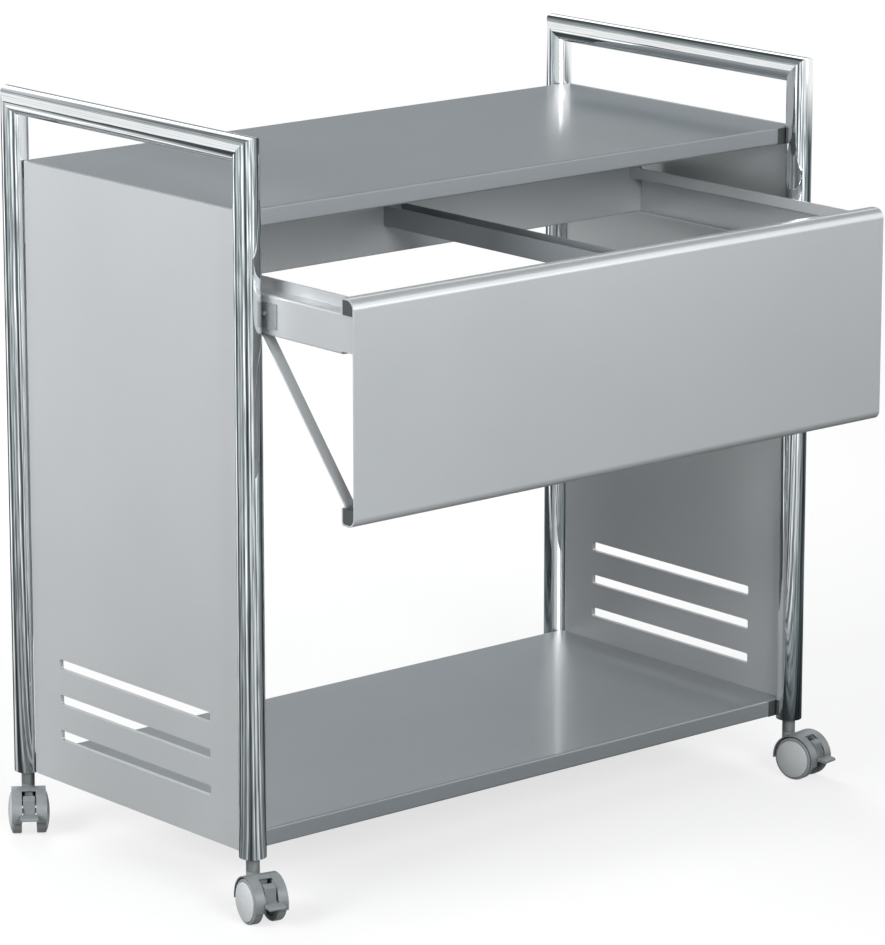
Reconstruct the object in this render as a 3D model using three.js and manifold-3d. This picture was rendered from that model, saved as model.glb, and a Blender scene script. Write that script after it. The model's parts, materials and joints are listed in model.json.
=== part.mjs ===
import * as THREE from "three";
import { mergeVertices } from "three/addons/utils/BufferGeometryUtils.js";
import Module from "manifold-3d";

const wasm = await Module();
wasm.setup();

// Side frames (mm): post axes stand at x = +-POST_SPAN_X / 2, y = 0 and y = POST_SPAN_Y
const POST_SPAN_X = 800;
const POST_SPAN_Y = 411;
const TUBE_DIA = 30;
const TUBE_WALL = 1.5;
const HANDLE_GAP = 50.6;
const WELD_SEAM = 0.15;
const TUBE_SIDES = 32;

// Fits, and how far a cutting body reaches past what it cuts
const SEAT_GAP = 0.3;
const PRESS_GAP = 0.1;
const RUN_GAP = 0.08;
const CUT_PAST = 1;

// Castor wheels
const WHEEL_DIA = 50;
const TREAD_W = 11;
const TREAD_EDGE_IN = 1.2;
const TREAD_EDGE_OUT = 1.4;
const WHEEL_RIM = 2.6;
const WHEEL_GROOVE_W = 1.2;
const WHEEL_GROOVE_D = 0.8;
const WHEEL_GAP = 17;
const WHEEL_DOME = 4;
const HUB_WALL = 1;
const AXLE_DIA = 6;

// Castor housings: angles are about the axle, 0 forward, 90 up, 180 back
const CASTOR_TRAIL = 20;
const HOOD_CLEAR = 1.8;
const HOOD_T = 1.2;
const HOOD_SIDE_GAP = 0.2;
const HOOD_FROM = -14;
const HOOD_TO = 186;
const HOOD_STEPS = 20;
const MOUTH_TOP = 71;
const MOUTH_DEEP = 4;
const WEB_T = 9;
const WEB_R = 6;
const WEB_FROM = -150;
const WEB_TO = 40;
const WEB_HEAD = [78, 104, 130, 156];
const BOSS_FOOT = 1;
const BOSS_GAP = 1;
const BOSS_WALL = 2;

// Castor pedals
const PEDAL_W = 13.5;
const PEDAL_SIDE_GAP = 1.2;
const PEDAL_TOP = 54;
const PEDAL_FACE = 23.4;
const PEDAL_ROOF_DROP = 3;
const PEDAL_DEEP = 7;
const PEDAL_T = 3.5;
const PEDAL_RISE = 2;
const PEDAL_TAPER = 0.6;
const PEDAL_EDGE = 1;
const PEDAL_LIP_W = 20;
const PEDAL_LIP_GAP = 0.7;
const PEDAL_REACH = 13;

// Castor stems
const COLLAR_H = 14.6;
const PIN_FOOT = 5;
const PIN_TIP = 1.5;
const PIN_TIP_H = 2;
const STEM_REACH = 40;
const INSERT_H = 45;
const CASTOR_TURN_LF = -12.5;
const CASTOR_TURN_RF = 9.8;
const CASTOR_TURN_REAR = 34.9;
const ROUND_SIDES = 24;

// Side panels
const PANEL_T = 5;
const PANEL_EDGE_R = 2;
const PANEL_TUBE_GAP = 3;
const PANEL_FOOT = 1.6;
const PANEL_H = 700.2;
const SLOT_COUNT = 3;
const SLOT_H = 11.5;
const SLOT_PITCH = 41.2;
const SLOT_FIRST = 55.8;
const SLOT_L = 273;
const SLOT_R = 2;

// Shelves and corner blocks
const SHELF_SETBACK = 11.6;
const SHELF_FASCIA = 20.2;
const SHELF_SHEET = 1.6;
const SHELF_LIP = 12;
const SHELF_BEND_R = 2.4;
const SHELF_LOW_FOOT = 2.1;
const BLOCK_END = 22;
const BLOCK_D = 24;

// Drawer
const DRAWER_OPEN = 127;
const DRAWER_MORE = 100;
const FRONT_PROUD = 27;
const FRONT_INSET = 16.5;
const FRONT_TOP_GAP = 50.6;
const FRONT_H = 241.5;
const FRONT_SHEET = 1.8;
const FRONT_HEM_R = 2.2;
const FRONT_TOP_R = 11;
const FRONT_TOP_D = 20;
const FRONT_TOP_H = 18;
const FRONT_LOW_R = 10;
const FRONT_LIP_R = 4;
const FRONT_LOW_D = 21;
const FRONT_LOW_H = 19;
const SIDE_INSET = 18.5;
const SIDE_SHEET = 1.5;
const HANG_DROP = 4.3;
const SIDE_H = 43.5;
const SIDE_LEDGE = 18.5;
const SIDE_UPSTAND = 12.5;
const SIDE_LIP = 9;
const SIDE_L = 375;
const SIDE_TAB_LAP = 2;
const SIDE_TAB_FOOT = 3;
const LEDGE_R = 2.6;
const UPSTAND_R = 1;
const FOLD_R = 2.2;
const REAR_FLANGE = 10;
const CENTRE_W = 28;
const CENTRE_H = 24;
const BRACE_W = 13;
const BRACE_T = 2;
const BRACE_R = 3;
const BRACE_FOOT = 7;
const BRACE_HEAD_Y = -2;
const BRACE_TAB = 18;
const CLIP_H = 27;
const CLIP_L = 23;
const CLIP_BASE_T = 1.2;
const CLIP_RAISED_T = 2.7;
const CLIP_RAISED_L = 13;
const CLIP_JOGGLE = 1.2;
const CLIP_EDGE = [0.6, 0.8];
const CLIP_REAR_Y = -3;
const CLIP_SCREW_DIA = 5;
const CLIP_SCREW_SINK = 0.4;
const CLIP_SCREW_SHIFT = 0.6;
const CLIP_SCREW_RISE = 1.5;

// Drawer runners
const RAIL_SHEET = 1.2;
const RAIL_H = 28;
const RAIL_D = 10;
const RAIL_R = 2;
const RAIL_END_GAP = 5;
const RUNNER_H = 21;
const RUNNER_TIP_GAP = 2;
const RUNNER_STOP_GAP = 4;

// Derived sizes
const TUBE_R = TUBE_DIA / 2;
const HALF_X = POST_SPAN_X / 2;
const WHEEL_R = WHEEL_DIA / 2;
const HOOD_IN = WHEEL_R + HOOD_CLEAR;
const HOOD_OUT = HOOD_IN + HOOD_T;
const HOOD_TOP_Z = WHEEL_R + HOOD_OUT;
const TUBE_FOOT_Z = HOOD_TOP_Z + COLLAR_H;
const COLLAR_Z = HOOD_TOP_Z - BOSS_WALL / 2;
const PANEL_IN = PANEL_T / 2;
const PANEL_TOP_Z = TUBE_FOOT_Z + PANEL_FOOT + PANEL_H;
const RAIL_Z = PANEL_TOP_Z + HANDLE_GAP + TUBE_R;
const FRONT_Y = -FRONT_PROUD - DRAWER_OPEN;
const FRONT_TOP_Z = PANEL_TOP_Z - SHELF_FASCIA - FRONT_TOP_GAP;
const FRONT_Z = FRONT_TOP_Z - FRONT_H;
const UPSTAND_Z = FRONT_TOP_Z - HANG_DROP;
const LEDGE_Z = UPSTAND_Z - SIDE_UPSTAND;
const SIDE_Z = LEDGE_Z - SIDE_H;
const SIDE_Y0 = FRONT_Y + FRONT_LOW_D + SEAT_GAP;
const SIDE_Y1 = SIDE_Y0 + SIDE_L;
const RAIL_MID_Z = SIDE_Z + SIDE_H / 2;
const BOSS_R = WHEEL_GAP / 2 - BOSS_GAP;
const PIN_R = BOSS_R - BOSS_WALL;

// Materials
const paint = (color, roughness, metalness) =>
  new THREE.MeshStandardMaterial({ color, roughness, metalness });
const CHROME = () => paint(0xd8dcde, 0.08, 1);
const SILVER = () => paint(0xbfc1c3, 0.45, 0.2);
const GREY = () => paint(0x8d9396, 0.35, 0.2);
const DARK = () => paint(0x42474a, 0.6, 0);
const STEEL = () => paint(0xa7abad, 0.35, 1);
const PLASTIC = () => paint(0x9a9fa2, 0.5, 0);
const TREAD = () => paint(0x8b9093, 0.55, 0);

// Solid helpers
function solid(geometry) {
  const flat = geometry.index ? geometry.toNonIndexed() : geometry;
  const bare = new THREE.BufferGeometry();
  bare.setAttribute("position", flat.getAttribute("position").clone());
  const merged = mergeVertices(bare, 1e-4);
  const index = merged.index.array;
  const kept = [];
  for (let i = 0; i < index.length; i += 3) {
    const [a, b, c] = [index[i], index[i + 1], index[i + 2]];
    if (a !== b && b !== c && a !== c) kept.push(a, b, c);
  }
  const build = (tris) =>
    new wasm.Manifold(
      new wasm.Mesh({
        numProp: 3,
        vertProperties: new Float32Array(merged.attributes.position.array),
        triVerts: new Uint32Array(tris),
      }),
    );
  const made = build(kept);
  if (made.volume() > 0) return made;
  const turned = [];
  for (let i = 0; i < kept.length; i += 3) turned.push(kept[i], kept[i + 2], kept[i + 1]);
  return build(turned);
}

function geometryOf(body) {
  const mesh = body.getMesh();
  const step = mesh.numProp;
  const points = new Float32Array(mesh.numVert * 3);
  for (let i = 0; i < mesh.numVert; i++) {
    points.set(mesh.vertProperties.subarray(i * step, i * step + 3), i * 3);
  }
  const geometry = new THREE.BufferGeometry();
  geometry.setAttribute("position", new THREE.BufferAttribute(points, 3));
  geometry.setIndex(new THREE.BufferAttribute(new Uint32Array(mesh.triVerts), 1));
  geometry.computeVertexNormals();
  return geometry;
}

const cut = (body, ...others) => others.reduce((a, b) => a.subtract(b), body);
const join = (body, ...others) => others.reduce((a, b) => a.add(b), body);

// Outline helpers
const v2 = (a, b) => new THREE.Vector2(a, b);

function arc(a, b, r, from, to, n) {
  const points = [];
  for (let i = 0; i <= n; i++) {
    const t = from + ((to - from) * i) / n;
    points.push(v2(a + r * Math.cos(t), b + r * Math.sin(t)));
  }
  return points;
}

const circle = (a, b, r, n) => arc(a, b, r, 0, 2 * Math.PI, n).slice(0, n);

function roundRect(a0, b0, a1, b1, r, n) {
  const q = Math.PI / 2;
  return [
    ...arc(a1 - r, b0 + r, r, -q, 0, n),
    ...arc(a1 - r, b1 - r, r, 0, q, n),
    ...arc(a0 + r, b1 - r, r, q, 2 * q, n),
    ...arc(a0 + r, b0 + r, r, 2 * q, 3 * q, n),
  ];
}

// A path of [a, b, bend radius] corners with every bend drawn as an arc
function bendPath(corners, n = 5) {
  const points = [];
  corners.forEach(([a, b, r], i) => {
    if (!r || i === 0 || i === corners.length - 1) {
      points.push(v2(a, b));
      return;
    }
    const here = v2(a, b);
    const into = here.clone().sub(v2(...corners[i - 1].slice(0, 2))).normalize();
    const out = v2(...corners[i + 1].slice(0, 2)).sub(here).normalize();
    const turn = Math.atan2(into.cross(out), into.dot(out));
    const run = r * Math.tan(Math.abs(turn) / 2);
    const side = Math.sign(turn);
    const start = here.clone().addScaledVector(into, -run);
    const hub = start.clone().add(v2(-into.y, into.x).multiplyScalar(r * side));
    const a0 = Math.atan2(start.y - hub.y, start.x - hub.x);
    points.push(...arc(hub.x, hub.y, r, a0, a0 + turn, n));
  });
  return points;
}

// A sheet of thickness t to the right of a path (to the left when t is negative)
function sheet(path, t) {
  const other = path.map((p, i) => {
    const before = i > 0 ? p.clone().sub(path[i - 1]).normalize() : null;
    const after = i < path.length - 1 ? path[i + 1].clone().sub(p).normalize() : null;
    const u = before || after;
    const w = after || before;
    const normal = v2(u.y + w.y, -u.x - w.x).normalize();
    const lean = normal.x * u.y - normal.y * u.x;
    return p.clone().addScaledVector(normal, t / lean);
  });
  return [...path, ...other.reverse()];
}

function extrude(points, depth, holes = []) {
  const shape = new THREE.Shape(points);
  holes.forEach((h) => shape.holes.push(new THREE.Path(h)));
  return new THREE.ExtrudeGeometry(shape, { depth, bevelEnabled: false, steps: 1 });
}

function remap(geometry, place) {
  const pos = geometry.getAttribute("position");
  for (let i = 0; i < pos.count; i++) {
    const [x, y, z] = place(pos.getX(i), pos.getY(i), pos.getZ(i));
    pos.setXYZ(i, x, y, z);
  }
  return geometry;
}

// Prisms: outline in two axes, swept along the third
const prismX = (points, x0, x1, holes) =>
  solid(remap(extrude(points, x1 - x0, holes), (a, b, t) => [x0 + t, a, b]));
const prismY = (points, y0, y1, holes) =>
  solid(remap(extrude(points, y1 - y0, holes), (a, b, t) => [a, y0 + t, b]));
const prismZ = (points, z0, z1, holes) =>
  solid(remap(extrude(points, z1 - z0, holes), (a, b, t) => [a, b, z0 + t]));

function box(x0, x1, y0, y1, z0, z1) {
  const g = new THREE.BoxGeometry(x1 - x0, y1 - y0, z1 - z0);
  return solid(g.translate((x0 + x1) / 2, (y0 + y1) / 2, (z0 + z1) / 2));
}

const rod = (x, y, r, z0, z1, n) => prismZ(circle(x, y, r, n), z0, z1);

// A turned piece: [radius, height] profile about Z
const turned = (profile, n) =>
  solid(new THREE.LatheGeometry(profile.map((p) => v2(...p)), n).rotateX(Math.PI / 2));

// The part
const cart = new THREE.Group();
cart.name = "mobile_file_cart";

function add(name, body, material, place) {
  const geometry = geometryOf(body);
  if (place) geometry.applyMatrix4(place);
  const mesh = new THREE.Mesh(geometry, material);
  mesh.name = name;
  cart.add(mesh);
}

const SIDES = [
  ["left", -1],
  ["right", 1],
];

// Side frames: each end that meets another tube is sheared to its mitre
function ringTube(place) {
  const inner = circle(0, 0, TUBE_R - TUBE_WALL, TUBE_SIDES);
  return solid(remap(extrude(circle(0, 0, TUBE_R, TUBE_SIDES), 1, [inner]), place));
}

function post(x, y, lean) {
  return ringTube((a, b, t) => [
    x + a,
    y + b,
    t < 0.5 ? TUBE_FOOT_Z : RAIL_Z - WELD_SEAM - lean * b,
  ]);
}

function topRail(x) {
  return ringTube((a, b, t) => [x + a, t < 0.5 ? -b : POST_SPAN_Y + b, RAIL_Z + b]);
}

for (const [side, s] of SIDES) {
  add(side + "_front_post", post(s * HALF_X, 0, 1), CHROME());
  add(side + "_rear_post", post(s * HALF_X, POST_SPAN_Y, -1), CHROME());
  add(side + "_top_rail", topRail(s * HALF_X), CHROME());
}

// Side panels with their three slots
function sidePanel(x) {
  const y0 = TUBE_R + PANEL_TUBE_GAP;
  const y1 = POST_SPAN_Y - y0;
  const z0 = TUBE_FOOT_Z + PANEL_FOOT;
  const plan = roundRect(x - PANEL_T / 2, y0, x + PANEL_T / 2, y1, PANEL_EDGE_R, 4);
  let body = prismZ(plan, z0, z0 + PANEL_H);
  const mid = POST_SPAN_Y / 2;
  for (let i = 0; i < SLOT_COUNT; i++) {
    const z = z0 + SLOT_FIRST + i * SLOT_PITCH;
    const slot = roundRect(mid - SLOT_L / 2, z - SLOT_H / 2, mid + SLOT_L / 2, z + SLOT_H / 2, SLOT_R, 4);
    body = cut(body, prismX(slot, x - PANEL_T, x + PANEL_T));
  }
  return body;
}

for (const [side, s] of SIDES) add(side + "_side_panel", sidePanel(s * HALF_X), SILVER());

// Shelves: folded trays, notched under the top sheet for the corner blocks
const postRoom = (s, y, z0, z1) =>
  rod(s * HALF_X, y, TUBE_R + SEAT_GAP, z0 - CUT_PAST, z1 + CUT_PAST, TUBE_SIDES);

function shelf(z0) {
  const z1 = z0 + SHELF_FASCIA;
  const y0 = SHELF_SETBACK;
  const y1 = POST_SPAN_Y - SHELF_SETBACK;
  const r = SHELF_BEND_R;
  const fold = [
    [y0 + SHELF_LIP, z0, 0],
    [y0, z0, r],
    [y0, z1, r],
    [y1, z1, r],
    [y1, z0, r],
    [y1 - SHELF_LIP, z0, 0],
  ];
  const end = HALF_X - PANEL_IN - SEAT_GAP;
  let body = prismX(sheet(bendPath(fold), SHELF_SHEET), -end, end);
  const notch = HALF_X - BLOCK_END;
  const deep = BLOCK_D + SEAT_GAP;
  const under = z1 - SHELF_SHEET;
  for (const [, s] of SIDES) {
    const [a, b] = s < 0 ? [-HALF_X, -notch] : [notch, HALF_X];
    body = cut(body, box(a, b, y0 - CUT_PAST, y0 + deep, z0 - CUT_PAST, under));
    body = cut(body, box(a, b, y1 - deep, y1 + CUT_PAST, z0 - CUT_PAST, under));
    body = cut(body, postRoom(s, 0, z0, z1));
    body = cut(body, postRoom(s, POST_SPAN_Y, z0, z1));
  }
  return body;
}

function cornerBlock(s, rear, z0) {
  const near = HALF_X - BLOCK_END + SEAT_GAP;
  const far = HALF_X - PANEL_IN - SEAT_GAP;
  const y0 = rear ? POST_SPAN_Y - SHELF_SETBACK - BLOCK_D : SHELF_SETBACK;
  const [a, b] = s < 0 ? [-far, -near] : [near, far];
  const z1 = z0 + SHELF_FASCIA - SHELF_SHEET - SEAT_GAP;
  return cut(box(a, b, y0, y0 + BLOCK_D, z0, z1), postRoom(s, rear ? POST_SPAN_Y : 0, z0, z1));
}

const SHELVES = [
  ["top", PANEL_TOP_Z - SHELF_FASCIA],
  ["bottom", TUBE_FOOT_Z + SHELF_LOW_FOOT],
];

for (const [level, z] of SHELVES) {
  add(level + "_shelf", shelf(z), GREY());
  for (const [side, s] of SIDES) {
    add(level + "_block_" + side + "_front", cornerBlock(s, false, z), DARK());
    add(level + "_block_" + side + "_rear", cornerBlock(s, true, z), DARK());
  }
}

// Drawer front: one sheet, rolled over at the top and turned up into a channel at the bottom
function drawerFront() {
  const y = (d) => FRONT_Y + d;
  const z = (h) => FRONT_Z + h;
  const fold = [
    [y(FRONT_TOP_D), z(FRONT_H - FRONT_TOP_H), 0],
    [y(FRONT_TOP_D), z(FRONT_H), FRONT_HEM_R],
    [y(0), z(FRONT_H), FRONT_TOP_R],
    [y(0), z(0), FRONT_LOW_R],
    [y(FRONT_LOW_D), z(0), FRONT_LIP_R],
    [y(FRONT_LOW_D), z(FRONT_LOW_H), 0],
  ];
  const end = HALF_X - FRONT_INSET;
  return prismX(sheet(bendPath(fold, 8), -FRONT_SHEET), -end, end);
}

// Drawer side: lip, plate, ledge and hanging rail in one fold, with a tab up to the front
function drawerSide(s) {
  const x = (inward) => s * (HALF_X - inward);
  const ledgeEnd = SIDE_INSET + SIDE_LEDGE;
  const fold = [
    [x(SIDE_INSET + SIDE_LIP), SIDE_Z, 0],
    [x(SIDE_INSET), SIDE_Z, FOLD_R],
    [x(SIDE_INSET), LEDGE_Z, LEDGE_R],
    [x(ledgeEnd), LEDGE_Z, UPSTAND_R],
    [x(ledgeEnd), UPSTAND_Z, 0],
  ];
  const body = prismY(sheet(bendPath(fold), -s * SIDE_SHEET), SIDE_Y0, SIDE_Y1);
  const tabTop = FRONT_Z + FRONT_H - FRONT_TOP_H - SEAT_GAP;
  const [a, b] = [x(SIDE_INSET), x(SIDE_INSET + SIDE_SHEET)].sort((p, q) => p - q);
  const y0 = FRONT_Y + FRONT_SHEET + SEAT_GAP;
  return join(body, box(a, b, y0, SIDE_Y0 + SIDE_TAB_LAP, SIDE_Z + SIDE_TAB_FOOT, tabTop));
}

// Brace: flat strip from inside the bottom channel up to the side plate's lip
function brace(s) {
  const d0 = FRONT_Y + FRONT_LOW_D - FRONT_SHEET - SEAT_GAP;
  const z0 = FRONT_Z + FRONT_LOW_H + BRACE_T;
  const z1 = SIDE_Z - SEAT_GAP - BRACE_T;
  const d1 = BRACE_HEAD_Y;
  const path = [
    [d0, FRONT_Z + BRACE_FOOT, 0],
    [d0, z0, BRACE_R],
    [d1, z1, BRACE_R],
    [d1 + BRACE_TAB, z1, 0],
  ];
  const a = s * (HALF_X - SIDE_INSET);
  const b = s * (HALF_X - SIDE_INSET - BRACE_W);
  return prismX(sheet(bendPath(path), -BRACE_T), Math.min(a, b), Math.max(a, b));
}

function rearPlate() {
  const y0 = SIDE_Y1 + SEAT_GAP;
  const fold = [
    [y0 + REAR_FLANGE, SIDE_Z, 0],
    [y0, SIDE_Z, FOLD_R],
    [y0, UPSTAND_Z, FOLD_R],
    [y0 + REAR_FLANGE, UPSTAND_Z, 0],
  ];
  const end = HALF_X - SIDE_INSET;
  return prismX(sheet(bendPath(fold), SIDE_SHEET), -end, end);
}

function centreRail() {
  const a = CENTRE_W / 2;
  const fold = [
    [-a, UPSTAND_Z, 0],
    [-a, UPSTAND_Z - CENTRE_H, FOLD_R],
    [a, UPSTAND_Z - CENTRE_H, FOLD_R],
    [a, UPSTAND_Z, 0],
  ];
  return prismY(sheet(bendPath(fold), -SIDE_SHEET), FRONT_Y + FRONT_LOW_D + SEAT_GAP, SIDE_Y1);
}

// Clip plate: thin joggled plate with a screw head, on the outside of the side plate
function clipPlate(s) {
  const x = (relief) => s * (HALF_X - SIDE_INSET + SEAT_GAP + relief);
  const y1 = CLIP_REAR_Y;
  const y0 = y1 - CLIP_L;
  const [edgeX, edgeY] = CLIP_EDGE;
  const plan = [
    [0, y0],
    [CLIP_RAISED_T - edgeX, y0],
    [CLIP_RAISED_T, y0 + edgeY],
    [CLIP_RAISED_T, y0 + CLIP_RAISED_L],
    [CLIP_BASE_T, y0 + CLIP_RAISED_L + CLIP_JOGGLE],
    [CLIP_BASE_T, y1],
    [0, y1],
  ].map(([r, y]) => v2(x(r), y));
  const z0 = RAIL_MID_Z - CLIP_H / 2;
  const body = prismZ(plan, z0, z0 + CLIP_H);
  const yc = y1 - (CLIP_L - CLIP_RAISED_L) / 2 + CLIP_SCREW_SHIFT;
  const head = circle(yc, RAIL_MID_Z + CLIP_SCREW_RISE, CLIP_SCREW_DIA / 2, 20);
  const ends = [x(CLIP_SCREW_SINK), x(CLIP_RAISED_T - CLIP_SCREW_SINK)].sort((p, q) => p - q);
  return join(body, prismX(head, ends[0], ends[1]));
}

function fixedRail(s) {
  const x = (inward) => s * (HALF_X - inward);
  const a = PANEL_IN + SEAT_GAP;
  const h = RAIL_H / 2;
  const fold = [
    [x(a + RAIL_D), RAIL_MID_Z - h, 0],
    [x(a), RAIL_MID_Z - h, RAIL_R],
    [x(a), RAIL_MID_Z + h, RAIL_R],
    [x(a + RAIL_D), RAIL_MID_Z + h, 0],
  ];
  const y0 = TUBE_R + RAIL_END_GAP;
  return prismY(sheet(bendPath(fold), -s * RAIL_SHEET), y0, POST_SPAN_Y - y0);
}

function runner(s) {
  const x = (inward) => s * (HALF_X - inward);
  const back = SIDE_INSET - SEAT_GAP;
  const tip = PANEL_IN + SEAT_GAP + RAIL_SHEET + RUNNER_TIP_GAP;
  const h = RUNNER_H / 2;
  const fold = [
    [x(tip), RAIL_MID_Z + h, 0],
    [x(back), RAIL_MID_Z + h, RAIL_R],
    [x(back), RAIL_MID_Z - h, RAIL_R],
    [x(tip), RAIL_MID_Z - h, 0],
  ];
  const y0 = TUBE_R + RUNNER_STOP_GAP + DRAWER_MORE;
  return prismY(sheet(bendPath(fold), -s * RAIL_SHEET), y0, SIDE_Y1);
}

add("drawer_front", drawerFront(), SILVER());
add("drawer_rear_plate", rearPlate(), SILVER());
add("drawer_centre_rail", centreRail(), GREY());
for (const [side, s] of SIDES) {
  add("drawer_" + side + "_side", drawerSide(s), SILVER());
  add("drawer_" + side + "_brace", brace(s), SILVER());
  add("drawer_" + side + "_clip", clipPlate(s), STEEL());
  add("drawer_" + side + "_runner", runner(s), STEEL());
  add(side + "_fixed_rail", fixedRail(s), STEEL());
}

// Castors: local -Y points to the pedal, the stem stands on the local Z axis
const AXLE_Y = -CASTOR_TRAIL;
const AXLE_Z = WHEEL_R;
const INNER_X = WHEEL_GAP / 2;
const OUTER_X = INNER_X + TREAD_W;

// Points in a castor's side view: forward of and above the axle, or on a circle about it
const at = (forward, up) => v2(AXLE_Y - forward, AXLE_Z + up);

function about(radius, deg) {
  const t = (deg * Math.PI) / 180;
  return at(radius * Math.cos(t), radius * Math.sin(t));
}

function rim(radius, from, to, n) {
  const points = [];
  for (let i = 0; i <= n; i++) points.push(about(radius, from + ((to - from) * i) / n));
  return points;
}

const sector = (r0, r1, from, to, n) => [...rim(r1, from, to, n), ...rim(r0, to, from, n)];

const slab = (points, width) => prismX(points, -width / 2, width / 2);

function wheel(s) {
  const bore = AXLE_DIA / 2 + RUN_GAP;
  const rimR = WHEEL_R - WHEEL_RIM;
  const discR = rimR - WHEEL_GROOVE_W;
  const profile = [
    [0, OUTER_X - HUB_WALL],
    [bore, OUTER_X - HUB_WALL],
    [bore, INNER_X],
    [WHEEL_R - TREAD_EDGE_IN, INNER_X],
    [WHEEL_R, INNER_X + TREAD_EDGE_IN],
    [WHEEL_R, OUTER_X - TREAD_EDGE_OUT],
    [WHEEL_R - TREAD_EDGE_OUT, OUTER_X],
    [rimR, OUTER_X],
    [rimR - WHEEL_GROOVE_W / 2, OUTER_X - WHEEL_GROOVE_D],
    [discR, OUTER_X + WHEEL_DOME * 0.2],
    [discR * 0.65, OUTER_X + WHEEL_DOME * 0.78],
    [0, OUTER_X + WHEEL_DOME],
  ];
  const g = new THREE.LatheGeometry(profile.map((p) => v2(...p)), ROUND_SIDES);
  g.rotateZ(s < 0 ? Math.PI / 2 : -Math.PI / 2).translate(0, AXLE_Y, AXLE_Z);
  return solid(g);
}

// Housing: hood over both wheels, web between them, boss for the stem, mouth for the pedal
function housing() {
  const hood = slab(
    sector(HOOD_IN, HOOD_OUT, HOOD_FROM, HOOD_TO, HOOD_STEPS),
    2 * (OUTER_X - HOOD_SIDE_GAP),
  );
  const boss = rod(0, 0, BOSS_R, AXLE_Z + BOSS_FOOT, COLLAR_Z, ROUND_SIDES);
  const head = WEB_HEAD.map((deg) => about((HOOD_IN + HOOD_OUT) / 2, deg));
  const web = slab([...rim(WEB_R, WEB_FROM, WEB_TO, 10), ...head], WEB_T);
  const axle = slab(circle(AXLE_Y, AXLE_Z, AXLE_DIA / 2 + PRESS_GAP, ROUND_SIDES), WEB_T + 2 * CUT_PAST);
  const bore = rod(0, 0, PIN_R + RUN_GAP, AXLE_Z + PIN_FOOT, HOOD_TOP_Z + CUT_PAST, ROUND_SIDES);
  const mouth = slab(
    sector(HOOD_IN - MOUTH_DEEP, HOOD_OUT + MOUTH_DEEP, HOOD_FROM - MOUTH_DEEP, MOUTH_TOP, HOOD_STEPS),
    PEDAL_W + 2 * PEDAL_SIDE_GAP,
  );
  return cut(join(hood, boss, web), axle, bore, mouth);
}

// Pedal: block with a sloping roof and a flat face, and a wide lip to step on
function pedal() {
  const roof = about(HOOD_OUT, PEDAL_TOP);
  const roofUp = roof.y - AXLE_Z - PEDAL_ROOF_DROP;
  const low = PEDAL_RISE - PEDAL_T / 2;
  const high = PEDAL_RISE + PEDAL_T / 2 + PEDAL_TAPER;
  const root = HOOD_OUT + PEDAL_LIP_GAP;
  const tip = HOOD_OUT + PEDAL_REACH;
  const block = [
    roof,
    at(PEDAL_FACE, roofUp),
    at(PEDAL_FACE, high),
    at(root + PEDAL_EDGE, high - PEDAL_TAPER),
    at(root + PEDAL_EDGE, low),
    at(PEDAL_FACE - PEDAL_DEEP, low),
    about(HOOD_OUT - PEDAL_DEEP, PEDAL_TOP),
  ];
  const lip = [
    at(root, low),
    at(root, high),
    at(tip - PEDAL_EDGE, high - 2 * PEDAL_TAPER),
    at(tip, high - 2 * PEDAL_TAPER - PEDAL_EDGE),
    at(tip, low - PEDAL_TAPER),
  ];
  return join(slab(block, PEDAL_W), slab(lip, PEDAL_LIP_W));
}

function axlePin() {
  const reach = OUTER_X - HUB_WALL - SEAT_GAP;
  return slab(circle(AXLE_Y, AXLE_Z, AXLE_DIA / 2, ROUND_SIDES), 2 * reach);
}

function stemPin() {
  const low = AXLE_Z + PIN_FOOT + SEAT_GAP;
  const collarLow = COLLAR_Z + SEAT_GAP;
  const collarTop = TUBE_FOOT_Z - SEAT_GAP;
  const top = TUBE_FOOT_Z + STEM_REACH;
  const profile = [
    [0, low],
    [PIN_R, low],
    [PIN_R, collarLow],
    [BOSS_R, collarLow],
    [BOSS_R, collarTop],
    [PIN_R, collarTop],
    [PIN_R, top - PIN_TIP_H],
    [PIN_R - PIN_TIP, top],
    [0, top],
  ];
  return turned(profile, ROUND_SIDES);
}

function tubeInsert() {
  const out = TUBE_R - TUBE_WALL - PRESS_GAP;
  const bore = circle(0, 0, PIN_R + PRESS_GAP, ROUND_SIDES);
  return prismZ(circle(0, 0, out, TUBE_SIDES), TUBE_FOOT_Z, TUBE_FOOT_Z + INSERT_H, [bore]);
}

const CASTORS = [
  ["left_front", -1, 0, CASTOR_TURN_LF],
  ["right_front", 1, 0, CASTOR_TURN_RF],
  ["left_rear", -1, POST_SPAN_Y, -CASTOR_TURN_REAR],
  ["right_rear", 1, POST_SPAN_Y, CASTOR_TURN_REAR],
];

for (const [corner, s, y, turn] of CASTORS) {
  const still = new THREE.Matrix4().makeTranslation(s * HALF_X, y, 0);
  const swung = still.clone().multiply(new THREE.Matrix4().makeRotationZ((turn * Math.PI) / 180));
  add(corner + "_insert", tubeInsert(), DARK(), still);
  add(corner + "_stem", stemPin(), STEEL(), still);
  add(corner + "_housing", housing(), PLASTIC(), swung);
  add(corner + "_axle", axlePin(), STEEL(), swung);
  add(corner + "_wheel_l", wheel(-1), TREAD(), swung);
  add(corner + "_wheel_r", wheel(1), TREAD(), swung);
  add(corner + "_pedal", pedal(), PLASTIC(), swung);
}

// The origin is the centre of the footprint, on the floor
const bounds = new THREE.Box3().setFromObject(cart);
const midY = (bounds.min.y + bounds.max.y) / 2;
cart.children.forEach((mesh) => mesh.geometry.translate(0, -midY, 0));

export default cart;
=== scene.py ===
import json
import math

import bmesh
import bpy
from mathutils import Matrix, Vector

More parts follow.
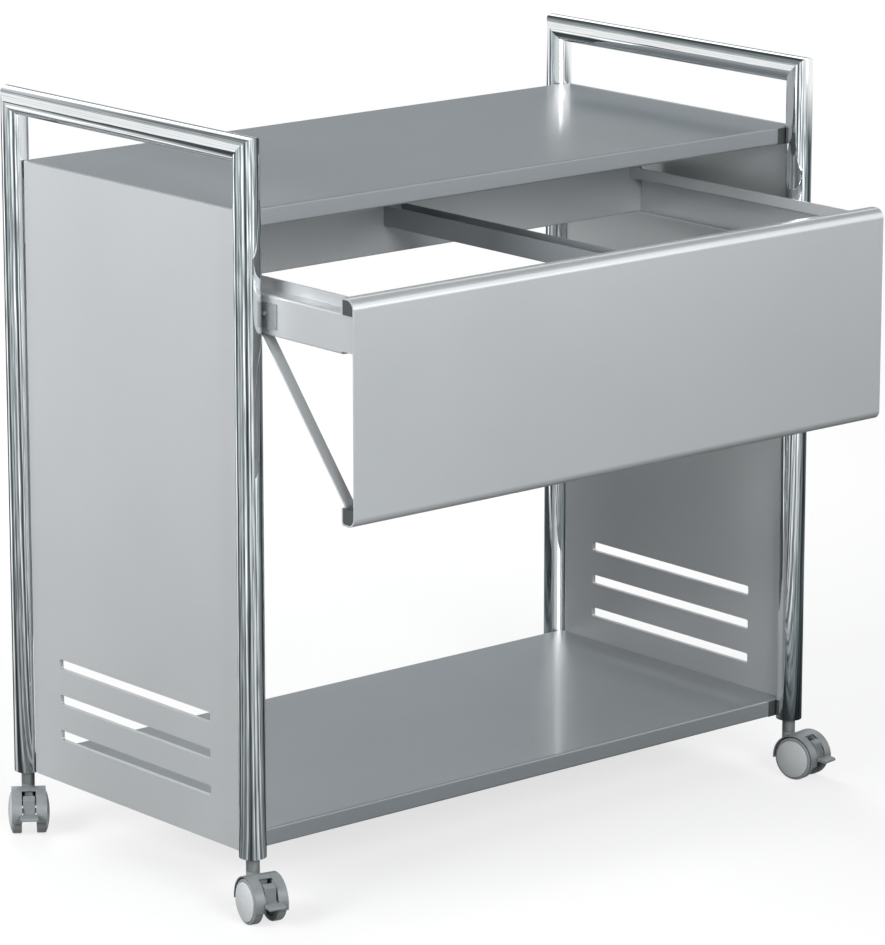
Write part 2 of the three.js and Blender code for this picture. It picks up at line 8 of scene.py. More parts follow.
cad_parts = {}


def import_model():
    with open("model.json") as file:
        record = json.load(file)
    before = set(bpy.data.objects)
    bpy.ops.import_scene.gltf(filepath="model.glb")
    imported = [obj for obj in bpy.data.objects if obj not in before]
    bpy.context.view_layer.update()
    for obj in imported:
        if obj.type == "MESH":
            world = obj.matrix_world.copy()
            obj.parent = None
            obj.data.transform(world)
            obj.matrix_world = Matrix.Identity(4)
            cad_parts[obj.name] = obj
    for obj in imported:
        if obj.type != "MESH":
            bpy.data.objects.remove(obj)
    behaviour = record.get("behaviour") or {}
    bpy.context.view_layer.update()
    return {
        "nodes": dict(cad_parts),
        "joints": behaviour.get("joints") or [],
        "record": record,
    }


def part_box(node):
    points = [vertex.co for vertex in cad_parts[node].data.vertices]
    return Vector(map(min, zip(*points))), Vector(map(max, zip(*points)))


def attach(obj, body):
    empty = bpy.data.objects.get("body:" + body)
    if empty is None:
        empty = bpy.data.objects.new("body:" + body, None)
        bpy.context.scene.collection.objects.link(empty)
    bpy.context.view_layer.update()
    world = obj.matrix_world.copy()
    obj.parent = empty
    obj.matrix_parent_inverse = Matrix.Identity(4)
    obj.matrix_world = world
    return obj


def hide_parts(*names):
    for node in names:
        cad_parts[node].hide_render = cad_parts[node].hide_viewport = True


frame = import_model()
NODES = frame["nodes"]
RECORD = frame["record"]
JOINTS = {joint["name"]: joint for joint in frame["joints"]}
MM = 0.001

# Camera: where the photograph was taken from
CAMERA_AT = (-3.5531, -4.1581, 1.7524)
CAMERA_YAW = 49.616
CAMERA_PITCH = 13.873
CAMERA_LENS = 190.48
CAMERA_SENSOR = 36
CAMERA_FAR = 100

# Edge rounding of the carried-over solids (mm), by material slot
EDGE_ROUND = {
    "silver_paint": 0.3,
    "shelf_paint": 0.35,
    "dark_plastic": 0.6,
    "bright_steel": 0.25,
    "castor_plastic": 0.45,
}
EDGE_STEPS = 2
SMOOTH_ANGLE = 34
FLAT_ANGLE = 0.5
WELD_GAP = 0.00001

# Wheels (mm): distances along the axle are from the castor's middle
WHEEL_R = 25
WHEEL_IN = 8.5
WHEEL_OUT = 19.5
WHEEL_EDGE_IN = 1.5
WHEEL_EDGE_OUT = 2.2
DISC_R = 21.8
DISC_CROWN = 23.4
DISC_EDGE = 0.8
DISC_STEP = 0.9
CROWN_AT = (0.97, 0.92, 0.84, 0.72, 0.56, 0.38, 0.18)
WHEEL_BORE = 3.08
WHEEL_BORE_END = 1
WHEEL_HUB_R = 9
WHEEL_WELL_R = 19
WHEEL_WELL_DEEP = 2.6
WHEEL_CHAMFER = 0.4
WHEEL_GROOVE_W = 0.5
WHEEL_GROOVE_DEEP = 1.1
WHEEL_STEPS = 72

# Dark plates in the ends of the drawer front's rolled top and bottom channel: painted shade for
# the shaded insides of the hollows (mm)
FRONT_SHEET = 1.8
ROLL_D = 20
ROLL_H = 18
ROLL_R = 9.2
CHANNEL_D = 21
CHANNEL_H = 19
CHANNEL_R = 8.2
SHADE_PLATE_SUNK = 0.6
SHADE_PLATE_T = 1.1

# Clip screws (mm)
SCREW_R = 2.4
SCREW_H = 0.55
SCREW_CROSS = 1.5
SCREW_CROSS_W = 0.42
SCREW_CROSS_DEEP = 0.4
SCREW_CROSS_TAPER = 0.8
SCREW_RIM = 0.5
SCREW_SHOULDER = (0.85, 0.86)
SCREW_STEPS = 24
SCREW_SUNK = 0.42
SCREW_UP = 1.5
CLIP_FLAT_AT = 4.4


# Shader helper
class Shader:
    """A material's node tree, with a short call for each node used here."""

    def __init__(self, name):
        self.material = bpy.data.materials.new(name)
        self.material.use_nodes = True
        self.tree = self.material.node_tree
        self.surface = self.tree.nodes["Principled BSDF"]

    def node(self, kind, **settings):
        made = self.tree.nodes.new(kind)
        for key, value in settings.items():
            setattr(made, key, value)
        return made

    def link(self, source, target):
        self.tree.links.new(source, target)

    def set(self, **values):
        for key, value in values.items():
            self.surface.inputs[key.replace("_", " ")].default_value = value

    def place(self, stretch=(1, 1, 1)):
        coords = self.node("ShaderNodeTexCoord")
        mapping = self.node("ShaderNodeMapping")
        mapping.inputs["Scale"].default_value = stretch
        self.link(coords.outputs["Object"], mapping.inputs["Vector"])
        return mapping.outputs["Vector"]

    def noise(self, place, scale, detail=2.0, swirl=0.0):
        made = self.node("ShaderNodeTexNoise")
        made.inputs["Scale"].default_value = scale
        made.inputs["Detail"].default_value = detail
        made.inputs["Distortion"].default_value = swirl
        self.link(place, made.inputs["Vector"])
        return made.outputs["Fac"]

    def spread(self, value, low, high):
        made = self.node("ShaderNodeMapRange")
        made.inputs["From Min"].default_value = 0.3
        made.inputs["From Max"].default_value = 0.7
        made.inputs["To Min"].default_value = low
        made.inputs["To Max"].default_value = high
        self.link(value, made.inputs["Value"])
        return made.outputs["Result"]

    def tint(self, value, dark, light):
        made = self.node("ShaderNodeMix", data_type="RGBA")
        color_in = [s for s in made.inputs if s.type == "RGBA"]
        color_in[0].default_value = (*dark, 1)
        color_in[1].default_value = (*light, 1)
        self.link(self.spread(value, 0, 1), made.inputs["Factor"])
        return [s for s in made.outputs if s.type == "RGBA"][0]

    def add(self, a, b, share):
        made = self.node("ShaderNodeMix", data_type="FLOAT")
        made.inputs["Factor"].default_value = share
        self.link(a, made.inputs["A"])
        self.link(b, made.inputs["B"])
        return made.outputs["Result"]

    def bump(self, height, strength, distance):
        made = self.node("ShaderNodeBump")
        made.inputs["Strength"].default_value = strength
        made.inputs["Distance"].default_value = distance
        self.link(height, made.inputs["Height"])
        self.link(made.outputs["Normal"], self.surface.inputs["Normal"])

    def color(self, output):
        self.link(output, self.surface.inputs["Base Color"])

    def roughness(self, output):
        self.link(output, self.surface.inputs["Roughness"])


# Materials: noise scales are per metre
CHROME_DARK = (0.80, 0.82, 0.83)
CHROME_LIGHT = (0.88, 0.90, 0.91)
FLAKE = 2600
SPECK = 2200
BRUSHED = 1500


def chrome(name, grain):
    s = Shader(name)
    place = s.place()
    cloud = s.noise(place, 9, 3)
    s.color(s.tint(cloud, CHROME_DARK, CHROME_LIGHT))
    s.roughness(s.spread(s.noise(place, 60, 4), 0.015, 0.04))
    s.bump(s.noise(s.place(grain), 300, 2), 0.2, 0.0005)
    s.set(Metallic=1.0)
    return s.material


def paint(name, dark, light, rough, metallic, coat, coat_rough):
    s = Shader(name)
    place = s.place()
    flake = s.noise(place, FLAKE, 1)
    cloud = s.noise(place, 5, 3)
    s.color(s.tint(s.add(flake, cloud, 0.45), dark, light))
    s.roughness(s.spread(s.noise(place, 700, 3), rough - 0.02, rough + 0.02))
    s.bump(s.add(s.noise(place, 420, 2), flake, 0.25), 0.006, 0.0006)
    s.set(Metallic=metallic, Coat_Weight=coat, Coat_Roughness=coat_rough)
    return s.material


def plastic(name, dark, light, rough, grain):
    s = Shader(name)
    place = s.place()
    cloud = s.noise(place, 40, 4)
    speck = s.noise(place, SPECK, 2)
    s.color(s.tint(s.add(cloud, speck, 0.4), dark, light))
    s.roughness(s.spread(speck, rough - 0.06, rough + 0.06))
    s.bump(speck, grain, 0.0004)
    return s.material


def zinc(name, dark, light):
    s = Shader(name)
    place = s.place((1, 0.08, 1))
    streak = s.noise(place, BRUSHED, 3)
    cloud = s.noise(s.place(), 120, 3)
    s.color(s.tint(s.add(cloud, streak, 0.4), dark, light))
    s.roughness(s.spread(streak, 0.38, 0.52))
    s.bump(streak, 0.05, 0.0004)
    s.set(Metallic=0.7)
    return s.material


MATERIALS = {
    "chrome_tube": chrome("chrome_tube", (1, 1, 0.03)),
    "silver_paint": paint(
        "silver_paint",
        dark=(0.496, 0.518, 0.529),
        light=(0.555, 0.573, 0.583),
        rough=0.30,
        metallic=0.35,
        coat=0.30,
        coat_rough=0.12,
    ),
    "shelf_paint": paint(
        "shelf_paint",
        dark=(0.226, 0.249, 0.264),
        light=(0.266, 0.289, 0.305),
        rough=0.36,
        metallic=0.20,
        coat=0.25,
        coat_rough=0.14,
    ),
    "dark_plastic": plastic(
        "dark_plastic",
        dark=(0.040, 0.046, 0.048),
        light=(0.062, 0.068, 0.070),
        rough=0.5,
        grain=0.12,
    ),
    "bright_steel": zinc("bright_steel", dark=(0.46, 0.48, 0.49), light=(0.56, 0.57, 0.58)),
    "castor_plastic": plastic(
        "castor_plastic",
        dark=(0.185, 0.205, 0.213),
        light=(0.235, 0.255, 0.263),
        rough=0.34,
        grain=0.08,
    ),
    "castor_wheel": plastic(
        "castor_wheel",
        dark=(0.22, 0.238, 0.247),
        light=(0.27, 0.288, 0.297),
        rough=0.5,
        grain=0.10,
    ),
}
LIKE_NAMED = {
    "_top_rail": chrome("chrome_rail", (1, 0.03, 1)),
    "_stem": zinc("stem_steel", dark=(0.20, 0.215, 0.22), light=(0.26, 0.275, 0.28)),
    # Painted shade: the clip gets a darker copy of the bright zinc, standing in for the post's
    # shadow over it
    "_clip": zinc("clip_steel_painted_shade", dark=(0.32, 0.335, 0.34), light=(0.39, 0.405, 0.41)),
}
DISC = plastic(
    "castor_disc",
    dark=(0.49, 0.51, 0.52),
    light=(0.56, 0.58, 0.59),
    rough=0.30,
    grain=0.05,
)


# Carried-over solids: welded, edges rounded, smooth where they turn gently
def smooth_group():
    tree = bpy.data.node_groups.new("smooth_by_angle", "GeometryNodeTree")
    tree.interface.new_socket("Geometry", in_out="INPUT", socket_type="NodeSocketGeometry")
    tree.interface.new_socket("Geometry", in_out="OUTPUT", socket_type="NodeSocketGeometry")
    start = tree.nodes.new("NodeGroupInput")
    end = tree.nodes.new("NodeGroupOutput")
    bare = tree.nodes.new("GeometryNodeRemoveAttribute")
    bare.inputs["Name"].default_value = "custom_normal"
    faces = tree.nodes.new("GeometryNodeSetShadeSmooth")
    edges = tree.nodes.new("GeometryNodeSetShadeSmooth")
    edges.domain = "EDGE"
    edges.inputs["Shade Smooth"].default_value = False
    angle = tree.nodes.new("GeometryNodeInputMeshEdgeAngle")
    sharp = tree.nodes.new("FunctionNodeCompare")
    sharp.operation = "GREATER_THAN"
    sharp.inputs["B"].default_value = math.radians(SMOOTH_ANGLE)
    link = tree.links.new
    link(start.outputs["Geometry"], bare.inputs["Geometry"])
    link(bare.outputs["Geometry"], faces.inputs["Geometry"])
    link(faces.outputs["Geometry"], edges.inputs["Geometry"])
    link(angle.outputs["Unsigned Angle"], sharp.inputs["A"])
    link(sharp.outputs["Result"], edges.inputs["Selection"])
    link(edges.outputs["Geometry"], end.inputs["Geometry"])
    return tree


SMOOTH = smooth_group()


def smooth_by_angle(piece):
    piece.modifiers.new("smooth", "NODES").node_group = SMOOTH


def finish_edges(piece, width):
    weld = piece.modifiers.new("weld", "WELD")
    weld.merge_threshold = WELD_GAP
    if width:
        flat = piece.modifiers.new("flat", "DECIMATE")
        flat.decimate_type = "DISSOLVE"
        flat.angle_limit = math.radians(FLAT_ANGLE)
        round_off = piece.modifiers.new("round", "BEVEL")
        round_off.width = width * MM
        round_off.segments = EDGE_STEPS
        round_off.limit_method = "ANGLE"
        round_off.angle_limit = math.radians(SMOOTH_ANGLE)
        round_off.use_clamp_overlap = True
    smooth_by_angle(piece)
    level = piece.modifiers.new("level", "WEIGHTED_NORMAL")
    level.keep_sharp = True


def material_of(subpart):
    for ending, material in LIKE_NAMED.items():
        if subpart["node"].endswith(ending):
            return material
    return MATERIALS[subpart["material_slot"]]


for subpart in RECORD["subparts"]:
    node = NODES[subpart["node"]]
    node.data.materials.clear()
    node.data.materials.append(material_of(subpart))
    finish_edges(node, EDGE_ROUND.get(subpart["material_slot"], 0))


# New pieces
def piece_from(mesh, name, materials, body):
    data = bpy.data.meshes.new(name)
    mesh.to_mesh(data)
    mesh.free()
    for material in materials:
        data.materials.append(material)
    data.polygons.foreach_set("use_smooth", [True] * len(data.polygons))
    piece = bpy.data.objects.new(name, data)
    bpy.context.scene.collection.objects.link(piece)
    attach(piece, body)
    return piece


def ring(mesh, along, radius, steps):
    made = []
    for i in range(steps):
        a = 2 * math.pi * i / steps
        made.append(mesh.verts.new((along, radius * math.cos(a), radius * math.sin(a))))
    return made


def turn(profile, steps, tint_of):
    """Rings of [along, radius] points about X; a radius of 0 closes the end."""
    mesh = bmesh.new()
    rings = []
    for along, radius in profile:
        if radius == 0:
            rings.append([mesh.verts.new((along, 0, 0))] * steps)
            continue
        rings.append(ring(mesh, along, radius, steps))
    for k in range(len(rings) - 1):
        for i in range(steps):
            j = (i + 1) % steps
            corners = [rings[k][i], rings[k][j], rings[k + 1][j], rings[k + 1][i]]
            face = mesh.faces.new(list(dict.fromkeys(corners)))
            face.material_index = tint_of(k)
    bmesh.ops.recalc_face_normals(mesh, faces=mesh.faces)
    return mesh


def arc(along, radius, r, start, end, n):
    points = []
    for i in range(n + 1):
        t = math.radians(start + (end - start) * i / n)
        points.append((along + r * math.cos(t), radius + r * math.sin(t)))
    return points


def wheel_profile():
    """Tyre and disc outlines, from the bore round the tread to the middle of the disc."""
    well = WHEEL_IN + WHEEL_WELL_DEEP
    groove = WHEEL_OUT - WHEEL_GROOVE_DEEP
    sag = DISC_CROWN - WHEEL_OUT - DISC_STEP
    rubber = [
        (WHEEL_OUT - WHEEL_BORE_END, 0),
        (WHEEL_OUT - WHEEL_BORE_END, WHEEL_BORE),
        (WHEEL_IN, WHEEL_BORE),
        (WHEEL_IN, WHEEL_HUB_R - WHEEL_CHAMFER),
        (WHEEL_IN + WHEEL_CHAMFER, WHEEL_HUB_R),
        (well, WHEEL_HUB_R + WHEEL_CHAMFER),
        (well, WHEEL_WELL_R),
        (WHEEL_IN + 0.3, WHEEL_WELL_R + 0.6),
        *arc(WHEEL_IN + WHEEL_EDGE_IN, WHEEL_R - WHEEL_EDGE_IN, WHEEL_EDGE_IN, 180, 90, 5),
        *arc(WHEEL_OUT - WHEEL_EDGE_OUT, WHEEL_R - WHEEL_EDGE_OUT, WHEEL_EDGE_OUT, 90, 10, 6),
        (WHEEL_OUT - 0.2, DISC_R + WHEEL_GROOVE_W + 0.1),
        (groove, DISC_R + WHEEL_GROOVE_W),
        (groove, DISC_R),
    ]
    disc = [
        (WHEEL_OUT + 0.2, DISC_R),
        *arc(WHEEL_OUT + 0.3, DISC_R - DISC_EDGE, DISC_EDGE, 70, 25, 3),
        *[(DISC_CROWN - sag * t * t, DISC_R * t - DISC_EDGE * t**8) for t in CROWN_AT],
        (DISC_CROWN, 0),
    ]
    return rubber, disc


def castor_wheel(corner, side):
    joint = JOINTS[corner + "_spin_" + side]
    rubber, disc = wheel_profile()
    split = len(rubber) - 1
    mesh = turn([*rubber, *disc], WHEEL_STEPS, lambda k: 0 if k < split else 1)
    axle = Vector(joint["axis"]) * (-1 if side == "l" else 1)
    up = Vector((0, 0, 1))
    turned = Matrix((axle, up.cross(axle), up)).transposed().to_4x4()
    place = Matrix.Translation(joint["pos_m"]) @ turned @ Matrix.Scale(MM, 4)
    mesh.transform(place)
    body = corner + "_wheel_" + side
    materials = [MATERIALS["castor_wheel"], DISC]
    piece = piece_from(mesh, body + "_detail", materials, body)
    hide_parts(body)
    smooth_by_angle(piece)


for corner in ("left_front", "right_front", "left_rear", "right_rear"):
    for side in ("l", "r"):
        castor_wheel(corner, side)


def cross_outline(a, b):
    """A cross with arms from the middle to a, each 2 b wide."""
    right = [(a, -b), (a, b), (b, b)]
    top = [(b, a), (-b, a), (-b, b)]
    left = [(-a, b), (-a, -b), (-b, -b)]
    low = [(-b, -a), (b, -a), (b, -b)]
    return right + top + left + low


def screw_head():
    """A low pan head with a cross recess, about X, its base at 0 (mm)."""
    mesh = bmesh.new()
    cross = cross_outline(SCREW_CROSS, SCREW_CROSS_W)
    high, narrow = SCREW_SHOULDER
    base = ring(mesh, 0, SCREW_R, SCREW_STEPS)
    rim = ring(mesh, SCREW_H * SCREW_RIM, SCREW_R, SCREW_STEPS)
    shoulder = ring(mesh, SCREW_H * high, SCREW_R * narrow, SCREW_STEPS)
    mouth = [mesh.verts.new((SCREW_H, y, z)) for y, z in cross]
    sunk, taper = SCREW_H - SCREW_CROSS_DEEP, SCREW_CROSS_TAPER
    bottom = [mesh.verts.new((sunk, y * taper, z * taper)) for y, z in cross]
    for first, second in ((base, rim), (rim, shoulder), (mouth, bottom)):
        for i in range(len(first)):
            j = (i + 1) % len(first)
            mesh.faces.new((first[i], first[j], second[j], second[i]))
    loops = []
    for points in (shoulder, mouth):
        for i in range(len(points)):
            loops.append(mesh.edges.get((points[i], points[(i + 1) % len(points)])))
    bmesh.ops.bridge_loops(mesh, edges=loops)
    mesh.faces.new(bottom)
    mesh.faces.new(list(reversed(base)))
    bmesh.ops.recalc_face_normals(mesh, faces=mesh.faces)
    return mesh


for side, sign in (("left", -1), ("right", 1)):
    low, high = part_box("drawer_" + side + "_clip")
    at = Vector((
        sign * (abs(low.x if sign < 0 else high.x) - SCREW_SUNK * MM),
        high.y - CLIP_FLAT_AT * MM,
        (low.z + high.z) / 2 + SCREW_UP * MM,
    ))
    turned = Matrix.Rotation(0 if sign > 0 else math.pi, 4, "Z")
    mesh = screw_head()
    mesh.transform(Matrix.Translation(at) @ turned @ Matrix.Scale(MM, 4))
    name = "drawer_" + side + "_clip_screw"
    screw = piece_from(mesh, name, [MATERIALS["bright_steel"]], "drawer")
    smooth_by_angle(screw)


def shade_plate(name, outline, x0, x1):
    """A flat dark plate with a [y, z] outline (m), between x0 and x1: painted shade inside a
    hollow end.
    """
    mesh = bmesh.new()
    face = mesh.faces.new([mesh.verts.new((x0, y, z)) for y, z in outline])
    grown = bmesh.ops.extrude_face_region(mesh, geom=[face])["geom"]
    moved = [v for v in grown if isinstance(v, bmesh.types.BMVert)]
    bmesh.ops.translate(mesh, verts=moved, vec=(x1 - x0, 0, 0))
    bmesh.ops.recalc_face_normals(mesh, faces=mesh.faces)
    piece = piece_from(mesh, name, [MATERIALS["dark_plastic"]], "drawer")
    smooth_by_angle(piece)


def hollow(depth, height, radius):
    """Inside of a folded edge, as [back from the front, in from the edge], one corner round."""
    far, near = depth - FRONT_SHEET, FRONT_SHEET
    corner = arc(near + radius, near + radius, radius, 180, 270, 8)
    return [(near, height), *corner, (far, near), (far, height)]


# Painted shade: a dark plate sunk into each end of the rolled top and bottom channel, where the
# hollows are in shade
front_low, front_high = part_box("drawer_front")
for side, end, inward in (("left", front_low.x, 1), ("right", front_high.x, -1)):
    x0 = end + inward * SHADE_PLATE_SUNK * MM
    x1 = x0 + inward * SHADE_PLATE_T * MM
    roll = hollow(ROLL_D, ROLL_H, ROLL_R)
    channel = hollow(CHANNEL_D, CHANNEL_H, CHANNEL_R)
    top = [(front_low.y + d * MM, front_high.z - h * MM) for d, h in roll]
    low = [(front_low.y + d * MM, front_low.z + h * MM) for d, h in channel]
    shade_plate("drawer_front_" + side + "_top_shade_plate", top, x0, x1)
    shade_plate("drawer_front_" + side + "_low_shade_plate", low, x0, x1)


# Stage: pale floor, white background, and two cards that only reflections see
FLOOR_GLOW_NEAR = (1.1, 0.72)
FLOOR_GLOW_FAR = (3.0, 1.0)
FLOOR_BOUNCE = 0.2
FLOOR_DARK = (0.86, 0.87, 0.87)
FLOOR_LIGHT = (0.89, 0.89, 0.89)
WORLD_LIGHT = 0.26
WORLD_TINT = (0.97, 0.985, 1, 1)
STAGE_REACH = 30
CARD_REACH = 6
CARD_LIFT = 0.001

# Reflected sky: sine of the height above the horizon, and its brightness
SKY_LEFT = (
    (0.0, 1.0),
    (0.10, 1.0),
    (0.12, 0.55),
    (0.14, 1.0),
    (0.28, 1.0),
    (0.30, 0.62),
    (0.33, 1.0),
    (0.46, 1.0),
    (0.50, 0.40),
    (0.535, 0.75),
    (0.565, 0.22),
    (0.60, 0.60),
    (0.63, 0.14),
    (0.65, 0.50),
    (0.67, 0.20),
    (0.80, 0.45),
    (1.0, 0.55),
)
SKY_RIGHT = (
    (0.0, 0.20),
    (0.22, 0.17),
    (0.36, 0.17),
    (0.44, 1.0),
    (0.56, 1.0),
    (0.64, 0.03),
    (0.80, 0.03),
    (1.0, 0.20),
)
SKY_RIGHT_LEVEL = 2.0
SKY_FRONT = (
    (0.0, 0.70),
    (0.10, 1.0),
    (0.58, 1.0),
    (0.66, 0.03),
    (0.80, 0.03),
    (1.0, 0.20),
)
SKY_FRONT_LEVEL = 2.0
SKY_SIDE = ((-0.15, 0), (0.15, 1))
SKY_BACK = ((-0.2, 0), (0.0, 1))

# Reflected ground: bearing from the cart in degrees from +X, and its brightness
GROUND_BANDS = (
    (-180, 0.32),
    (-168, 0.14),
    (-157, 0.80),
    (-145, 0.18),
    (-138, 0.04),
    (-128, 0.18),
    (-120, 0.80),
    (-113, 0.12),
    (-98, 0.68),
    (-86, 0.10),
    (-76, 0.68),
    (-65, 0.34),
    (-43, 0.16),
    (-28, 0.03),
    (-8, 0.05),
    (12, 0.16),
    (40, 0.18),
    (70, 0.07),
    (97, 0.04),
    (113, 0.85),
    (125, 0.06),
    (138, 0.06),
    (152, 0.42),
    (165, 0.12),
    (172, 0.45),
    (180, 0.32),
)
# Level by distance from the centre (m), and where the ground clears to plain white
GROUND_NEAR = ((0.3, 0.6), (1.6, 1.15))
GROUND_FAR = ((2.4, 1.0), (4.6, 1.3))
GROUND_CLEAR = ((4.9, 0), (5.6, 1))
GROUND_CENTRE = (-0.3, 0, 0)
STREAK_ALONG = ((0, 0), (6, 1.8))
STREAK_SCALE = 9
STREAK_SWIRL = 0.2
STREAK_RANGE = (0.2, 2.3)

# Dark reflections are cooler: share taken off red, green and blue
CARD_COOL = (0.23, 0.06, 0)
COOL_POWER = 1.5


def staged(name, mesh, material, everywhere=True, at=(0, 0, 0)):
    data = bpy.data.meshes.new(name)
    mesh.to_mesh(data)
    mesh.free()
    data.materials.append(material)
    made = bpy.data.objects.new(name, data)
    made.location = at
    made.visible_camera = everywhere
    made.visible_diffuse = everywhere
    made.visible_shadow = everywhere
    bpy.context.scene.collection.objects.link(made)


def ground_sheet(reach, height):
    mesh = bmesh.new()
    bmesh.ops.create_grid(mesh, x_segments=1, y_segments=1, size=reach)
    bmesh.ops.translate(mesh, verts=mesh.verts, vec=(0, 0, height))
    return mesh


def seen_ray(tree):
    """1 for the rays that show the background: from the camera, off metal, through glass."""
    path = tree.nodes.new("ShaderNodeLightPath")
    seen = path.outputs["Is Camera Ray"]
    for kind in ("Is Glossy Ray", "Is Transmission Ray"):
        either = tree.nodes.new("ShaderNodeMath")
        either.operation = "MAXIMUM"
        tree.links.new(seen, either.inputs[0])
        tree.links.new(path.outputs[kind], either.inputs[1])
        seen = either.outputs[0]
    return seen


def cooled(grey):
    """A reflected grey, cooler the darker it is."""
    return [grey * (1 - cut * (1 - grey) ** COOL_POWER) for cut in CARD_COOL]


def fill_ramp(ramp, stops):
    ramp.elements.remove(ramp.elements[1])
    for i, (position, grey) in enumerate(stops):
        stop = ramp.elements[0] if i == 0 else ramp.elements.new(position)
        stop.position = position
        stop.color = (*cooled(grey), 1)


def ranged(s, value, start, end):
    made = s.node("ShaderNodeMapRange")
    made.inputs["From Min"].default_value, made.inputs["To Min"].default_value = start
    made.inputs["From Max"].default_value, made.inputs["To Max"].default_value = end
    s.link(value, made.inputs["Value"])
    return made.outputs["Result"]


def length(s, place):
    made = s.node("ShaderNodeVectorMath", operation="LENGTH")
    s.link(place, made.inputs[0])
    return made.outputs["Value"]


def times(s, a, b):
    made = s.node("ShaderNodeMath", operation="MULTIPLY")
    s.link(a, made.inputs[0])
    s.link(b, made.inputs[1])
    return made.outputs[0]


def glow(s, bands, position):
    """A glow whose grey follows the bands."""
    ramp = s.node("ShaderNodeValToRGB")
    fill_ramp(ramp.color_ramp, bands)
    s.link(position, ramp.inputs["Fac"])
    made = s.node("ShaderNodeEmission")
    s.link(ramp.outputs["Color"], made.inputs["Color"])
    return made


def blend(s, share, first, second):
    made = s.node("ShaderNodeMixShader")
    s.link(share, made.inputs[0])
    s.link(first.outputs[0], made.inputs[1])
    s.link(second.outputs[0], made.inputs[2])
    return made


def shown(s, shader):
    s.link(shader.outputs[0], s.tree.nodes["Material Output"].inputs["Surface"])


def floor():
    s = Shader("floor")
    place = s.place()
    s.set(Roughness=0.9)
    s.color(s.tint(s.noise(place, 0.8, 2), FLOOR_DARK, FLOOR_LIGHT))
    dim = s.node("ShaderNodeBsdfDiffuse")
    dim.inputs["Color"].default_value = (FLOOR_BOUNCE, FLOOR_BOUNCE, FLOOR_BOUNCE, 1)
    white = s.node("ShaderNodeEmission")
    pale = blend(s, ranged(s, length(s, place), FLOOR_GLOW_NEAR, FLOOR_GLOW_FAR), s.surface, white)
    shown(s, blend(s, seen_ray(s.tree), dim, pale))
    staged("floor", ground_sheet(STAGE_REACH, 0), s.material)


def ground_card():
    s = Shader("ground_card")
    place = s.place()
    away = length(s, place)
    bearing = s.node("ShaderNodeTexGradient", gradient_type="RADIAL")
    s.link(place, bearing.inputs["Vector"])
    bands = [((degrees + 180) / 360, grey) for degrees, grey in GROUND_BANDS]
    banded = glow(s, bands, bearing.outputs["Fac"])
    outward = s.node("ShaderNodeVectorMath", operation="NORMALIZE")
    s.link(place, outward.inputs[0])
    along = s.node("ShaderNodeCombineXYZ")
    s.link(ranged(s, away, *STREAK_ALONG), along.inputs["Z"])
    wavy = s.node("ShaderNodeVectorMath", operation="ADD")
    s.link(outward.outputs["Vector"], wavy.inputs[0])
    s.link(along.outputs["Vector"], wavy.inputs[1])
    swirled = s.noise(wavy.outputs["Vector"], STREAK_SCALE, 3, STREAK_SWIRL)
    streak = s.spread(swirled, *STREAK_RANGE)
    lift = times(s, ranged(s, away, *GROUND_NEAR), ranged(s, away, *GROUND_FAR))
    s.link(times(s, streak, lift), banded.inputs["Strength"])
    white = s.node("ShaderNodeEmission")
    shown(s, blend(s, ranged(s, away, *GROUND_CLEAR), banded, white))
    sheet = ground_sheet(CARD_REACH, CARD_LIFT)
    staged("ground_card", sheet, s.material, everywhere=False, at=GROUND_CENTRE)


def sky_card():
    s = Shader("sky_card")
    toward = s.node("ShaderNodeSeparateXYZ")
    s.link(s.place((1 / STAGE_REACH, 1 / STAGE_REACH, 1 / STAGE_REACH)), toward.inputs[0])
    left = glow(s, SKY_LEFT, toward.outputs["Z"])
    right = glow(s, SKY_RIGHT, toward.outputs["Z"])
    right.inputs["Strength"].default_value = SKY_RIGHT_LEVEL
    front = glow(s, SKY_FRONT, toward.outputs["Z"])
    front.inputs["Strength"].default_value = SKY_FRONT_LEVEL
    back = blend(s, ranged(s, toward.outputs["X"], *SKY_SIDE), left, right)
    shown(s, blend(s, ranged(s, toward.outputs["Y"], *SKY_BACK), front, back))
    mesh = bmesh.new()
    bmesh.ops.create_uvsphere(mesh, u_segments=48, v_segments=48, radius=STAGE_REACH)
    below = [v for v in mesh.verts if v.co.z < 0]
    bmesh.ops.delete(mesh, geom=below, context="VERTS")
    staged("sky_card", mesh, s.material, everywhere=False)


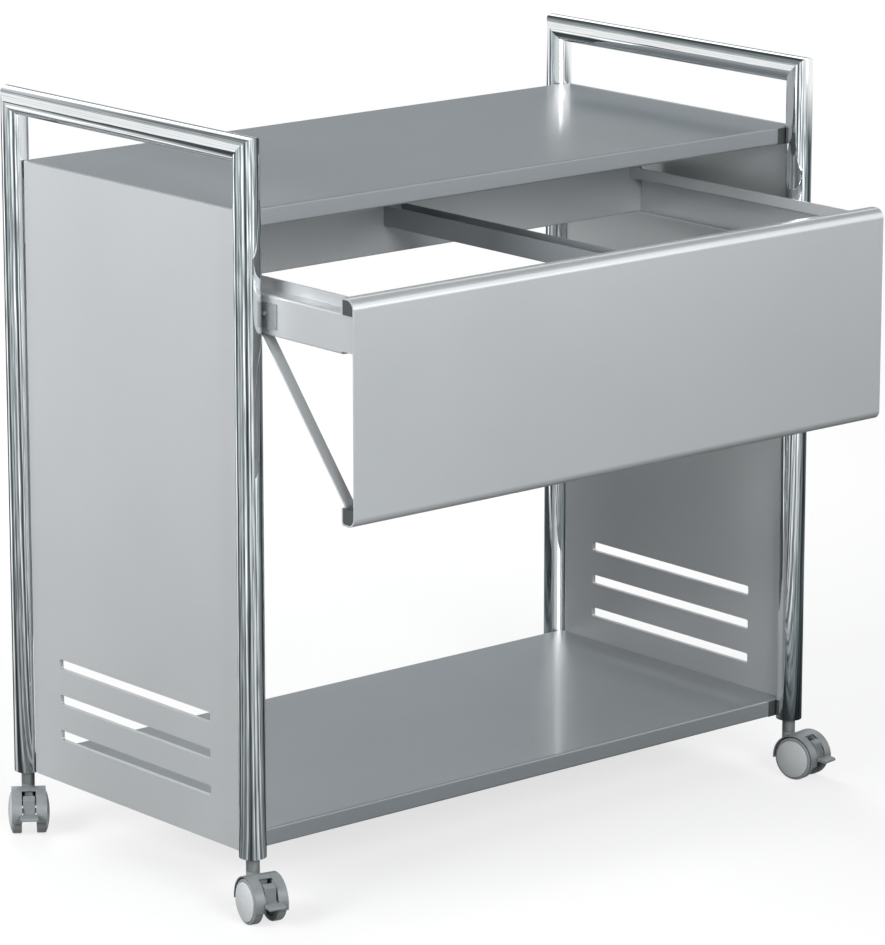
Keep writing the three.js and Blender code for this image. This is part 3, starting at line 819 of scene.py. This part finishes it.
def world():
    made = bpy.data.worlds.new("studio")
    bpy.context.scene.world = made
    made.use_nodes = True
    tree = made.node_tree
    soft = tree.nodes["Background"]
    soft.inputs["Color"].default_value = WORLD_TINT
    soft.inputs["Strength"].default_value = WORLD_LIGHT
    white = tree.nodes.new("ShaderNodeBackground")
    white.inputs["Color"].default_value = (1, 1, 1, 1)
    mix = tree.nodes.new("ShaderNodeMixShader")
    tree.links.new(seen_ray(tree), mix.inputs[0])
    tree.links.new(soft.outputs[0], mix.inputs[1])
    tree.links.new(white.outputs[0], mix.inputs[2])
    tree.links.new(mix.outputs[0], tree.nodes["World Output"].inputs["Surface"])


def softbox(name, at, aim, size, power, mirrored=True):
    lamp = bpy.data.lights.new(name, "AREA")
    lamp.shape = "RECTANGLE"
    lamp.size, lamp.size_y = size
    lamp.energy = power
    made = bpy.data.objects.new(name, lamp)
    made.location = at
    made.rotation_mode = "QUATERNION"
    made.rotation_quaternion = (Vector(aim) - Vector(at)).to_track_quat("-Z", "Y")
    made.visible_camera = False
    made.visible_glossy = mirrored
    bpy.context.scene.collection.objects.link(made)


floor()
ground_card()
sky_card()
world()
softbox("key", (-2.6, 0.05, 1.3), (-0.4, 0.07, 0.45), (1.2, 1.2), 66, mirrored=False)
softbox("front", (-0.8, -3.0, 1.8), (0, -0.29, 0.5), (1.2, 1.0), 72)
softbox("fill", (1.4, -2.4, 0.8), (0, 0, 0.3), (0.8, 0.8), 4)
softbox("rear", (1.0, 2.3, 1.4), (0, 0, 0.1), (0.9, 0.9), 46, mirrored=False)

camera = bpy.data.objects.new("camera", bpy.data.cameras.new("camera"))
yaw, pitch = math.radians(CAMERA_YAW), math.radians(CAMERA_PITCH)
look = Vector((math.cos(yaw) * math.cos(pitch), math.sin(yaw) * math.cos(pitch), -math.sin(pitch)))
camera.location = CAMERA_AT
camera.rotation_mode = "QUATERNION"
camera.rotation_quaternion = look.to_track_quat("-Z", "Y")
camera.data.sensor_width = CAMERA_SENSOR
camera.data.lens = CAMERA_LENS
camera.data.clip_end = CAMERA_FAR
bpy.context.scene.collection.objects.link(camera)
bpy.context.scene.camera = camera
bpy.context.scene.view_settings.view_transform = "Standard"

bpy.context.view_layer.update()
